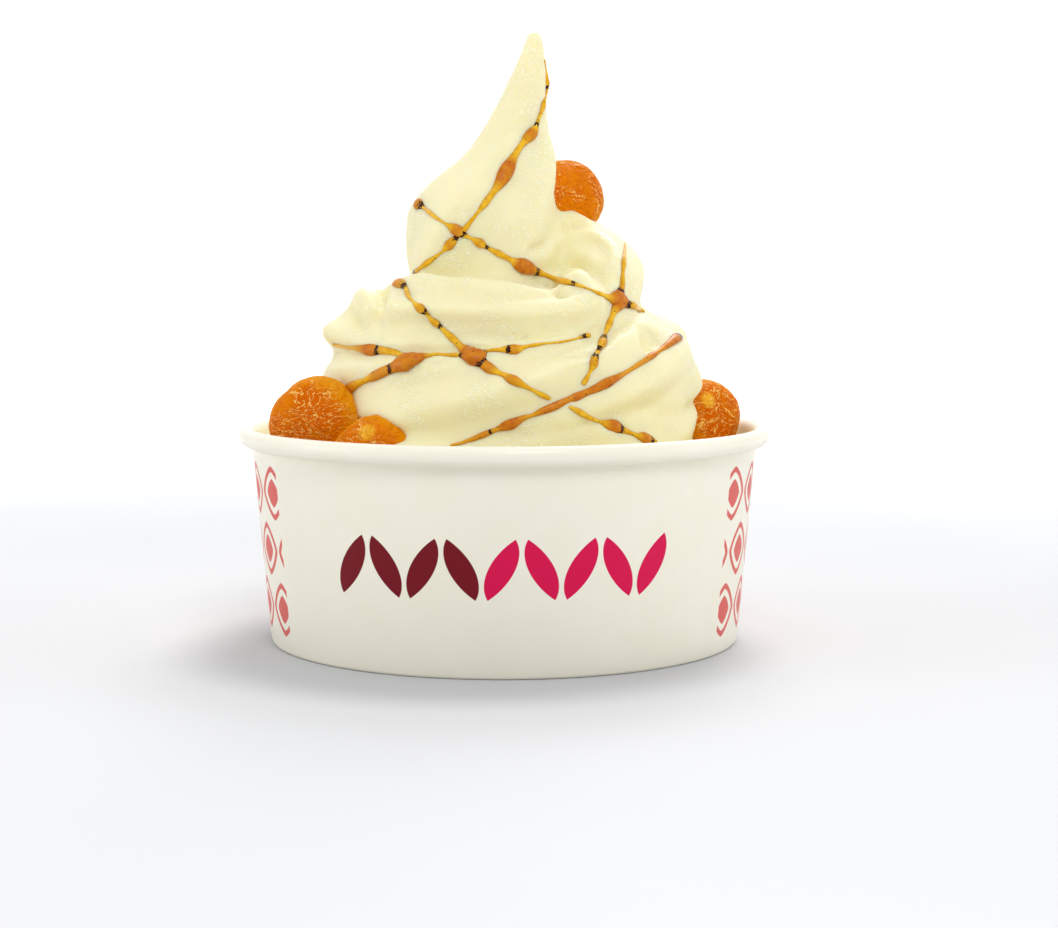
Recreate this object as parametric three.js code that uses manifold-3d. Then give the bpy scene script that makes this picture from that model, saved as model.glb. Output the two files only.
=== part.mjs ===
// A paper tub of frozen yogurt: a white cup with a rolled rim, one piped swirl pulled up to a
// leaning peak, and four soft apricots bedded in it. Millimetres, +Z up, origin at the centre of
// the circle that the cup stands on. The front of the swirl faces -Y.
import * as THREE from "three";
import { mergeVertices } from "three/addons/utils/BufferGeometryUtils.js";
import Module from "manifold-3d";

const wasm = await Module();
wasm.setup();

// ---- Driving dimensions ----
const GAP = 0.3; // between neighbouring solids
const ROUND_STEPS = 64; // flats round the cup

const CUP = {
  height: 47,
  rimRadius: 58, // outside of the rolled rim
  rollWidth: 3.4, // the roll is a little taller than it is wide
  rollHeight: 4,
  footRadius: 51.5, // outside of the wall where the cup stands
  wallTopRadius: 55.2, // outside of the wall just under the roll
  board: 0.6, // thickness of the coated board
  hemHeight: 5.2, // the wall is folded in on itself at the foot
  hemWidth: 0.8,
  discThickness: 0.8,
};

const FILL_LEVEL = 38.5; // yogurt level between the swirl and the wall
const FILL_RIPPLE = 0.7;

const ROPE = {
  flutes: 7, // ridges that the star nozzle leaves round the rope
  sides: 28,
  stepsPerTurn: 32,
  pieceTurns: 0.5,
  // Turns are counted from the front towards +X. Each row: reach of the rope's centre from the
  // axis, its height, the rope's radius, the roll of its flutes in degrees and their depth as a
  // share of the radius.
  stations: [
    { turn: -1.5, reach: 28, height: 34, radius: 10, roll: -210, depth: 0.14 }, // under the fill
    { turn: -1.25, reach: 30, height: 38, radius: 11, roll: -200, depth: 0.14 },
    { turn: -1, reach: 31.6, height: 40.4, radius: 11.6, roll: -180, depth: 0.14 }, // front
    { turn: -0.875, reach: 31.4, height: 43.4, radius: 12, roll: -160, depth: 0.14 },
    { turn: -0.75, reach: 29.8, height: 47.5, radius: 12.6, roll: -140, depth: 0.14 }, // right
    { turn: -0.5, reach: 28.5, height: 51, radius: 12.2, roll: -100, depth: 0.15 }, // back
    { turn: -0.25, reach: 28, height: 56, radius: 12, roll: -45, depth: 0.15 }, // left
    { turn: 0, reach: 29, height: 52.8, radius: 12.7, roll: 20, depth: 0.17 }, // front
    { turn: 0.125, reach: 29, height: 56.3, radius: 13.2, roll: 55, depth: 0.17 },
    { turn: 0.25, reach: 29.4, height: 59.4, radius: 13.2, roll: 88, depth: 0.12 }, // right
    { turn: 0.5, reach: 28, height: 62.8, radius: 12.4, roll: 98, depth: 0.16 }, // back
    { turn: 0.75, reach: 25.9, height: 66.2, radius: 12.5, roll: 57, depth: 0.2 }, // left
    { turn: 0.875, reach: 24.3, height: 68, radius: 11.4, roll: 31, depth: 0.2 },
    { turn: 1, reach: 21.3, height: 69.4, radius: 10.9, roll: 9, depth: 0.18 }, // front
    { turn: 1.125, reach: 20.8, height: 70.4, radius: 10.5, roll: 28, depth: 0.18 },
    { turn: 1.25, reach: 21, height: 78.3, radius: 10.2, roll: 75, depth: 0.16 }, // right
    { turn: 1.375, reach: 16.5, height: 86, radius: 9.9, roll: 110, depth: 0.15 },
    { turn: 1.5, reach: 11.5, height: 86.5, radius: 10.2, roll: 130, depth: 0.15 }, // back
    { turn: 1.75, reach: 8.5, height: 87, radius: 9, roll: 140, depth: 0.1 }, // inside the peak
    { turn: 2, reach: 4, height: 87, radius: 6, roll: 150, depth: 0.1 },
  ],
};

const PEAK = {
  flutes: 5,
  fluteDepth: 0.15, // as a share of the radius
  sides: 20,
  rings: 26,
  // Height, where the axis stands, the radius there and the twist of the flutes in degrees.
  stations: [
    { height: 74.5, x: -4.6, y: -1.5, radius: 14.5, twist: -50 },
    { height: 79.5, x: -5.2, y: -2, radius: 16.8, twist: -46 },
    { height: 84, x: -5.2, y: -2, radius: 17.4, twist: -40 },
    { height: 90, x: -4.6, y: -2, radius: 17.4, twist: -31 },
    { height: 95, x: -3.8, y: -1.5, radius: 16.6, twist: -22 },
    { height: 100, x: -1.6, y: -1, radius: 14.2, twist: -13 },
    { height: 105, x: 1.3, y: -0.5, radius: 10.9, twist: -11 },
    { height: 110.5, x: 2.6, y: 0, radius: 7.9, twist: -10 },
    { height: 117, x: 4, y: 0, radius: 5.6, twist: -9 },
    { height: 124, x: 5.6, y: 0, radius: 3.8, twist: -8 },
    { height: 129.5, x: 6.4, y: 0, radius: 2.1, twist: -8 },
    { height: 131.4, x: 6.6, y: 0, radius: 1.5, twist: -8 },
    { height: 132, x: 6.7, y: 0, radius: 0.8, twist: -8 },
  ],
};

// Half the breadth and half the thickness of each apricot, its centre, and the way that its
// broad face looks.
const APRICOTS = {
  apricot_left: { breadth: 10, thickness: 7, at: [-39.4, -22, 48.3], faces: [-0.4, -0.9, 0.15] },
  apricot_front: { breadth: 8.9, thickness: 6.2, at: [-26.8, -36, 42.4], faces: [-0.35, -0.9, 0.3] },
  apricot_right: { breadth: 8.3, thickness: 6.2, at: [44.8, 8, 48], faces: [0.55, -0.8, 0.2] },
  apricot_top: { breadth: 9, thickness: 6.6, at: [13.6, 12.5, 97.1], faces: [0.45, -0.75, 0.35] },
};

// ---- Materials ----
const paper = new THREE.MeshStandardMaterial({ color: 0xf3f1e6, roughness: 0.55, metalness: 0 });
const yogurt = new THREE.MeshStandardMaterial({ color: 0xf5efc4, roughness: 0.5, metalness: 0 });
const apricot = new THREE.MeshStandardMaterial({ color: 0xdf7d12, roughness: 0.3, metalness: 0 });

// ---- Solids and meshes ----
function solidOf(geometry) {
  const bare = geometry.clone();
  bare.deleteAttribute("normal");
  bare.deleteAttribute("uv");
  const merged = mergeVertices(bare, 1e-4);
  return new wasm.Manifold(
    new wasm.Mesh({
      numProp: 3,
      vertProperties: new Float32Array(merged.attributes.position.array),
      triVerts: new Uint32Array(merged.index.array),
    }),
  );
}

function geometryOf(solid) {
  const mesh = solid.getMesh();
  const geometry = new THREE.BufferGeometry();
  geometry.setAttribute("position", new THREE.BufferAttribute(mesh.vertProperties, 3));
  geometry.setIndex(new THREE.BufferAttribute(mesh.triVerts, 1));
  geometry.computeVertexNormals();
  return geometry;
}

// A profile of [radius, height] pairs turned round the Z axis.
function turned(profile) {
  const points = profile.map(([radius, height]) => new THREE.Vector2(radius, height));
  return new THREE.LatheGeometry(points, ROUND_STEPS).rotateX(Math.PI / 2);
}

// One value of a list of stations, on a smooth curve through all of them. The place is counted
// in the stations' own `turn`, or else in stations.
function smoothThrough(stations, key, place) {
  const last = stations.length - 1;
  const where = (i) => stations[i].turn ?? i;
  const value = (i) => stations[i][key];
  const slope = (i) => {
    const before = Math.max(i - 1, 0);
    const after = Math.min(i + 1, last);
    return (value(after) - value(before)) / (where(after) - where(before));
  };
  let from = 0;
  while (from < last - 1 && where(from + 1) <= place) from++;
  const span = where(from + 1) - where(from);
  const f = (place - where(from)) / span;
  return (
    value(from) * (2 * f ** 3 - 3 * f ** 2 + 1) +
    slope(from) * span * (f ** 3 - 2 * f ** 2 + f) +
    value(from + 1) * (3 * f ** 2 - 2 * f ** 3) +
    slope(from + 1) * span * (f ** 3 - f ** 2)
  );
}

// A closed cylinder whose every point is moved to where place(turn round it, share of length,
// share of radius) says.
function bentCylinder(sides, rings, place) {
  const geometry = new THREE.CylinderGeometry(1, 1, 1, sides, rings);
  const position = geometry.attributes.position;
  const point = new THREE.Vector3();
  for (let i = 0; i < position.count; i++) {
    point.fromBufferAttribute(position, i);
    const angle = Math.atan2(point.x, point.z);
    const share = Math.hypot(point.x, point.z);
    position.setXYZ(i, ...place(angle, point.y + 0.5, share));
  }
  return geometry;
}

// ---- The cup ----
function wallRadius(height) {
  const wallTop = CUP.height - CUP.rollHeight;
  const slope = (CUP.wallTopRadius - CUP.footRadius) / wallTop;
  return CUP.footRadius + slope * height;
}

function cupSleeve() {
  const halfWidth = CUP.rollWidth / 2;
  const halfHeight = CUP.rollHeight / 2;
  const rollRadius = CUP.rimRadius - halfWidth;
  const rollCentre = CUP.height - halfHeight;
  const profile = [[CUP.footRadius, 0]];
  const rollSteps = 10;
  const rollStart = THREE.MathUtils.degToRad(-130); // where the outside of the wall meets the roll
  const rollEnd = Math.PI; // the inside of the wall runs straight into the roll
  for (let i = 0; i <= rollSteps; i++) {
    const angle = THREE.MathUtils.lerp(rollStart, rollEnd, i / rollSteps);
    profile.push([
      rollRadius + halfWidth * Math.cos(angle),
      rollCentre + halfHeight * Math.sin(angle),
    ]);
  }
  const inside = wallRadius(CUP.hemHeight) - CUP.board;
  profile.push([inside, CUP.hemHeight]);
  profile.push([inside - CUP.hemWidth, CUP.hemHeight]);
  profile.push([CUP.footRadius - CUP.board - CUP.hemWidth, 0]);
  profile.push([CUP.footRadius, 0]);
  return turned(profile);
}

function cupDisc() {
  const low = CUP.hemHeight + GAP;
  const high = low + CUP.discThickness;
  const radius = wallRadius(low) - CUP.board - GAP;
  return turned([
    [0, low],
    [radius, low],
    [radius, high],
    [0, high],
  ]);
}

// ---- The yogurt ----
// Straight-sided ridges, as a star nozzle leaves them, with one at angle 0.
function flutedRadius(radius, depth, flutes, angle) {
  const place = (flutes * angle) / (2 * Math.PI);
  const valley = 2 * Math.abs(place - Math.round(place));
  return radius * (1 - depth * valley);
}

function ropeCentre(turn) {
  const heading = 2 * Math.PI * turn;
  const reach = smoothThrough(ROPE.stations, "reach", turn);
  return new THREE.Vector3(
    reach * Math.sin(heading),
    -reach * Math.cos(heading),
    smoothThrough(ROPE.stations, "height", turn),
  );
}

function ropePoint(turn, angle, share) {
  const at = (key) => smoothThrough(ROPE.stations, key, turn);
  const small = 0.005;
  const tangent = ropeCentre(turn + small).sub(ropeCentre(turn - small)).normalize();
  const heading = 2 * Math.PI * turn;
  const outward = new THREE.Vector3(Math.sin(heading), -Math.cos(heading), 0);
  outward.addScaledVector(tangent, -outward.dot(tangent)).normalize();
  const upward = new THREE.Vector3().crossVectors(outward, tangent);
  const radius = share * flutedRadius(at("radius"), at("depth"), ROPE.flutes, angle);
  const rolled = angle + THREE.MathUtils.degToRad(at("roll"));
  return ropeCentre(turn)
    .addScaledVector(outward, radius * Math.cos(rolled))
    .addScaledVector(upward, radius * Math.sin(rolled))
    .toArray();
}

// The rope is made in pieces of half a turn, so that no piece runs into itself.
function ropePieces() {
  const first = ROPE.stations[0].turn;
  const last = ROPE.stations[ROPE.stations.length - 1].turn;
  const steps = ROPE.stepsPerTurn * ROPE.pieceTurns;
  const pieces = [];
  for (let from = first; from < last; from += ROPE.pieceTurns) {
    pieces.push(
      bentCylinder(ROPE.sides, steps, (angle, along, share) =>
        ropePoint(from + ROPE.pieceTurns * along, -angle, share),
      ),
    );
  }
  return pieces;
}

function peakPoint(angle, along, share) {
  const at = (key) => smoothThrough(PEAK.stations, key, along * (PEAK.stations.length - 1));
  const radius = share * flutedRadius(at("radius"), PEAK.fluteDepth, PEAK.flutes, angle);
  const twisted = angle + THREE.MathUtils.degToRad(at("twist"));
  return [at("x") + radius * Math.sin(twisted), at("y") - radius * Math.cos(twisted), at("height")];
}

// The yogurt that fills the cup, and the heart of the swirl inside the rope.
function fillAndHeart() {
  const floor = CUP.hemHeight + CUP.discThickness + 2 * GAP;
  const inside = (height) => wallRadius(height) - CUP.board - GAP;
  const edge = inside(FILL_LEVEL);
  return turned([
    [0, floor],
    [inside(floor), floor],
    [edge, FILL_LEVEL],
    [edge - 5, FILL_LEVEL - FILL_RIPPLE],
    [edge - 11, FILL_LEVEL + 4],
    [32, 50],
    [27, 66],
    [21, 74],
    [13.5, 82],
    [8, 90],
    [0, 92],
  ]);
}

function apricotShape({ breadth, thickness, at, faces }, grown = 0) {
  const geometry = new THREE.SphereGeometry(1, 18, 11);
  const position = geometry.attributes.position;
  const point = new THREE.Vector3();
  const creaseDepth = 0.09;
  const creaseWidth = 0.22;
  for (let i = 0; i < position.count; i++) {
    point.fromBufferAttribute(position, i);
    const onFace = Math.max(0, point.z);
    const crease = creaseDepth * onFace * Math.exp(-((point.x / creaseWidth) ** 2));
    const uneven = 1 + 0.03 * Math.sin(2.3 * point.x + 1) + 0.03 * Math.cos(3.1 * point.y);
    position.setXYZ(
      i,
      point.x * (breadth * uneven + grown),
      point.y * (breadth * 0.98 * uneven + grown),
      point.z * (thickness + grown) - crease * thickness,
    );
  }
  const turn = new THREE.Object3D();
  turn.position.set(...at);
  turn.up.set(0, 0, 1);
  turn.lookAt(new THREE.Vector3(...at).add(new THREE.Vector3(...faces)));
  turn.updateMatrix();
  return geometry.applyMatrix4(turn.matrix);
}

function yogurtSolid() {
  let solid = solidOf(fillAndHeart());
  for (const piece of ropePieces()) solid = solid.add(solidOf(piece));
  solid = solid.add(solidOf(bentCylinder(PEAK.sides, PEAK.rings, peakPoint)));
  for (const fruit of Object.values(APRICOTS)) {
    solid = solid.subtract(solidOf(apricotShape(fruit, GAP)));
  }
  // Where the ends of two pieces meet, a crumb without volume can be left over.
  return solid.decompose().sort((a, b) => b.volume() - a.volume())[0];
}

// ---- The whole ----
const whole = new THREE.Group();

function add(name, geometry, material) {
  const mesh = new THREE.Mesh(geometry, material);
  mesh.name = name;
  whole.add(mesh);
}

add("cup_sleeve", cupSleeve(), paper);
add("cup_disc", cupDisc(), paper);
add("yogurt", geometryOf(yogurtSolid()), yogurt);
for (const [name, fruit] of Object.entries(APRICOTS)) add(name, apricotShape(fruit), apricot);

export default whole;
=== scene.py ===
"""The looks of the frozen yogurt cup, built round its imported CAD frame.

Blender works in metres; sizes here are in millimetres, turned into metres by MM.
+Z is up and the front of the swirl faces -Y.
"""
import math

import bmesh
import bpy
import numpy as np
from mathutils import Matrix, Vector, noise
from mathutils.bvhtree import BVHTree


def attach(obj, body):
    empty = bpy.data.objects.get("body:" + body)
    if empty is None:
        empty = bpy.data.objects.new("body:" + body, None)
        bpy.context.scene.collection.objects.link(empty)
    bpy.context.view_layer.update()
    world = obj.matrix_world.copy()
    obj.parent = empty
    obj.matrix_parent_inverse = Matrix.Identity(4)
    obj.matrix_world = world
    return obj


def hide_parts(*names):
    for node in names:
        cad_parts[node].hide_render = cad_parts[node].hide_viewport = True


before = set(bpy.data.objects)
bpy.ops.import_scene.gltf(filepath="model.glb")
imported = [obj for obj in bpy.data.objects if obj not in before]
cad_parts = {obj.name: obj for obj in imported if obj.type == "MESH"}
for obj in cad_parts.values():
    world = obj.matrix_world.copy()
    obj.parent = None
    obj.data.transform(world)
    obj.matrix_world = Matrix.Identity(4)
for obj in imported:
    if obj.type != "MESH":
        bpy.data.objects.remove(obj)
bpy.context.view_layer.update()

MM = 0.001

# ---- Camera ----
EYE = Vector((5.4, -459.3, 82.87)) * MM
PITCH_DOWN = 5.565  # degrees
LENS = 71.02
SENSOR = 36.0

# ---- The cup ----
CUP_HEIGHT = 47.0
RIM_RADIUS = 58.0
ROLL_WIDTH = 3.4
ROLL_HEIGHT = 4.0
FOOT_RADIUS = 51.5
WALL_TOP_RADIUS = 55.2
BOARD = 0.6
HEM_HEIGHT = 5.2
HEM_WIDTH = 0.8
CUP_STEPS = 288
DISC_STEPS = 144
PRINT_RADIUS = 53.5  # the wall's mean radius, which the print is laid out on
SEAM_ANGLE = 205.0  # degrees from the front towards the right
SEAM_STEP = 0.3
SEAM_WIDTH = 7.0

# ---- The yogurt ----
FILL_LEVEL = 38.5
FILL_RIPPLE = 0.7
FILL_STEPS = 128
VOXEL = 0.84
CREASE_SHADE_DEPTH = 0.9  # the depth at which a hollow shows the painted yellow shade in full
ROPE_SIDES = 84
ROPE_RINGS = 240
ROPE_FLUTES = 7
# turn from the front towards the right, reach, height, radius, roll in degrees, flute depth
ROPE_STATIONS = [
    (-1.25, 30, 38, 11, -200, 0.14),
    (-1, 31.6, 40.4, 11.6, -180, 0.14),
    (-0.875, 31.4, 43.4, 12, -160, 0.14),
    (-0.75, 29.8, 47.5, 12.8, -140, 0.14),
    (-0.5, 28.5, 51, 12.4, -100, 0.15),
    (-0.25, 28, 56, 12.2, -45, 0.15),
    (-0.06, 28.8, 53.2, 12.7, 1, 0.17),
    (0, 29, 52.8, 12.9, 20, 0.17),
    (0.125, 29, 56.3, 13.4, 55, 0.17),
    (0.25, 29.6, 59.4, 13.5, 88, 0.12),
    (0.5, 28, 62.8, 12.6, 98, 0.16),
    (0.75, 25.9, 66.2, 12.9, 57, 0.20),
    (0.875, 24.3, 68, 11.6, 31, 0.20),
    (1, 21.3, 69.9, 11.1, 9, 0.18),
    (1.125, 20.8, 71.3, 10.7, 28, 0.18),
    (1.25, 21, 78.3, 10.3, 75, 0.16),
    (1.375, 16.5, 85, 9.9, 110, 0.15),
    (1.5, 11.5, 86.5, 10.2, 130, 0.15),
    (1.75, 8.5, 87, 9, 140, 0.10),
    (2, 4, 87, 6, 150, 0.10),
]
PEAK_SIDES = 80
PEAK_RINGS = 90
PEAK_FLUTES = 5
PEAK_FLUTE_DEPTH = 0.15
# step, height, x and y of the axis, radius, twist in degrees
PEAK_STATIONS = [
    (0, 74.5, -4.6, -1.5, 14.5, -50),
    (1, 79.5, -5.2, -2, 16.8, -46),
    (2, 84, -5.2, -2, 17.4, -40),
    (3, 90, -4.6, -2, 17.4, -31),
    (4, 95, -3.8, -1.5, 16.6, -22),
    (5, 100, -1.6, -1, 14.2, -13),
    (6, 105, 1.3, -0.5, 10.9, -11),
    (7, 110.5, 2.6, 0, 7.9, -10),
    (8, 117, 4, 0, 5.6, -9),
    (9, 124, 5.6, 0, 3.8, -8),
    (10, 129.5, 6.4, 0, 2.3, -8),
    (11, 131.6, 6.6, 0, 1.7, -8),
    (12, 132.4, 6.7, 0, 0.9, -8),
]

# ---- Sculpting of the swirl, after its parts have grown together ----
# Where the skin is pushed: x, y, z, how wide, and the way it goes.
PUSHES = [
    # The crest of the upper coil, lower towards the right where the peak meets it.
    (8, -20, 80, 8, 0, 0, -3.6),
    (-15, -17, 81, 6, 0, 0, 1.6),
    # The curl behind the peak.
    (12, 2, 92, 8, 0, 0, 2),
    # Flaps at the left.
    (-37, -4, 67.5, 4.5, -1.8, 0, 0),
    (-33, -3, 78, 4.5, 2, 0, -2.4),
    (-26.5, 6, 78.5, 4, 0, 0, -3),
    # Lower front, out to the apricots.
    (-25, -36, 46, 8, -1.5, -4.5, 0),
    (-9, -39, 45, 7, 0, -2.5, 0),
    # Shoulder at the right.
    (29.5, -5, 71.5, 5, -1.5, 0, -0.8),
    (39.5, -4, 69.5, 5.5, -2, 0, -1),
    (41.5, -5, 57, 5, 1.2, 0, 0),
    (-19, -39, 45, 6, 0, -3, 0),
    (-17, -42, 43, 5, -1, -2.5, 0),
    (-20, -41, 46, 5, -2, -2, 0),
]
# Where it is smoothed together, seen from the front: x, z and how wide.
MELTS = [(16.5, 85, 7), (16, 79, 5.5), (9.5, 83, 4), (-29, 75, 4)]
MELT_ROUNDS = 80
STROKE_SPACING = 0.5
# Grooves and ridges drawn on it: width, then x, z and how far out as seen from the front.
STROKES = [
    # The notch before the flaps.
    (1.6, (-27, 76.4, -2.6), (-27.6, 74, -3.4), (-28.2, 71.4, -2.8), (-27.4, 69, -1)),
    # The flaps: two ridges with valleys between and below.
    (1.6, (-31.5, 76.4, 0.9), (-30.5, 75.4, 1.2), (-29.3, 73.4, 1), (-28.2, 71.2, 0.8),
     (-26, 68.2, 0.3)),
    (1.5, (-34.3, 73, -1.2), (-32.6, 69.9, -1.2), (-30.4, 67.5, -0.9), (-27.3, 66, -0.4)),
    (1.8, (-38.6, 67.7, 1.4), (-36.6, 66.8, 1.4), (-33.5, 65.5, 1), (-30, 64.4, 0.4)),
    (1.2, (-38, 65.2, -1), (-35.1, 64.2, -0.8), (-31, 63, -0.4)),
    (1.5, (-37.5, 62.6, 1), (-35.1, 62, 0.8)),
    # The crest of the upper coil and the flat below it.
    (1.2, (-22.9, 72.6, 0.4), (-14.1, 72.5, 0.5), (-5.4, 72.6, 0.5), (3.4, 73.1, 0.5),
     (11.1, 73.9, 0.5), (17.7, 75.2, 0.3)),
    (1.6, (-22, 69.6, -0.4), (-14, 69.4, -0.6), (-5, 69.3, -0.6), (4, 69.5, -0.6),
     (14, 70.3, -0.4)),
    # Where the coils meet at the front, filled.
    (1.7, (-25, 64.6, 1.2), (-16.4, 64.4, 1.3), (-5.4, 64.2, 1.3), (5.6, 64.2, 1.3),
     (14.4, 65.5, 1)),
    # The dent, the crack and the spot at the foot of the peak.
    (1, (9.6, 78.2, -1), (11, 77.4, -2.4), (11.9, 76.1, -4), (12.4, 75.3, -2)),
    (0.9, (6.6, 79.4, -0.8), (8, 78.7, -1.4), (9.6, 78, -1.4), (11, 77.2, -1)),
    (1, (5, 85.1, -0.5), (6.7, 85.4, -1.2), (8.4, 86, -0.6)),
    # The curl: filled, then hollow, outer ridge and knob.
    (1.8, (8.9, 83.4, 0.6), (10.5, 86.3, 1), (13.3, 87.9, 1.2), (17.7, 88.4, 1.2),
     (21, 87.5, 1.2), (24.3, 84.5, 1), (25.2, 80, 0.6)),
    (1.5, (8.9, 80.7, -1), (11.1, 81.6, -1.8), (13.3, 82.7, -2.4), (16.2, 82.9, -2.6),
     (18.8, 81.8, -2.2), (21, 79.1, -1.6), (21.7, 76.1, -0.8)),
    (2.4, (14, 78.6, 1.2), (16.6, 78.8, 1.6), (18.6, 77, 1)),
    # A fine ridge that runs round the end of the upper coil.
    (0.9, (21, 76, 0.4), (21.6, 73, 0.7), (20.3, 69.9, 0.7), (16.6, 67.7, 0.7),
     (11.3, 66.2, 0.3)),
    # The dent and the creases of the lower coil.
    (1.6, (30.8, 67.6, -1.2), (31.4, 66, -1.8), (31.6, 64.4, -2.2)),
    (1.6, (33, 66.6, -1.2), (33.4, 65.2, -1.4)),
    (0.8, (12.2, 61.8, -0.5), (16.6, 62, -0.9), (20.1, 62.9, -1.1), (21.9, 64.4, -1),
     (23.4, 66.4, -0.6)),
    (0.8, (-16.8, 61.1, -0.5), (-14.8, 60.7, -0.9), (-12.6, 60.9, -0.5)),
    (0.9, (22, 47, -0.6), (24.5, 46.4, -1.2), (27, 46, -0.6)),
]
# The same, with y given too: over the crest, where the front does not show it.
STROKES_OVER = [
    (2.6, (-26.6, -6, 79, -1.8), (-26.6, 1, 79.5, -2.2), (-26, 7, 79.5, -2.2),
     (-25.4, 12, 79, -1.5)),
]

# ---- The apricots: breadth, thickness, centre and the way that the broad face looks ----
APRICOTS = {
    "apricot_left": (10.6, 7, (-39.4, -22, 48.3), (-0.4, -0.9, 0.15)),
    "apricot_front": (9.5, 6.2, (-26.4, -36, 42.4), (-0.35, -0.9, 0.3)),
    "apricot_right": (8.8, 6.2, (44.8, 8, 48), (0.55, -0.8, 0.2)),
    "apricot_top": (9, 6.6, (13.6, 12.5, 97.1), (0.45, -0.75, 0.35)),
}

# A pale blotch on the broad face of two of them, in shares of the breadth.
BLOTCHES = {"apricot_front": (0.02, 0.5), "apricot_right": (-0.3, 0.35)}

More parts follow.
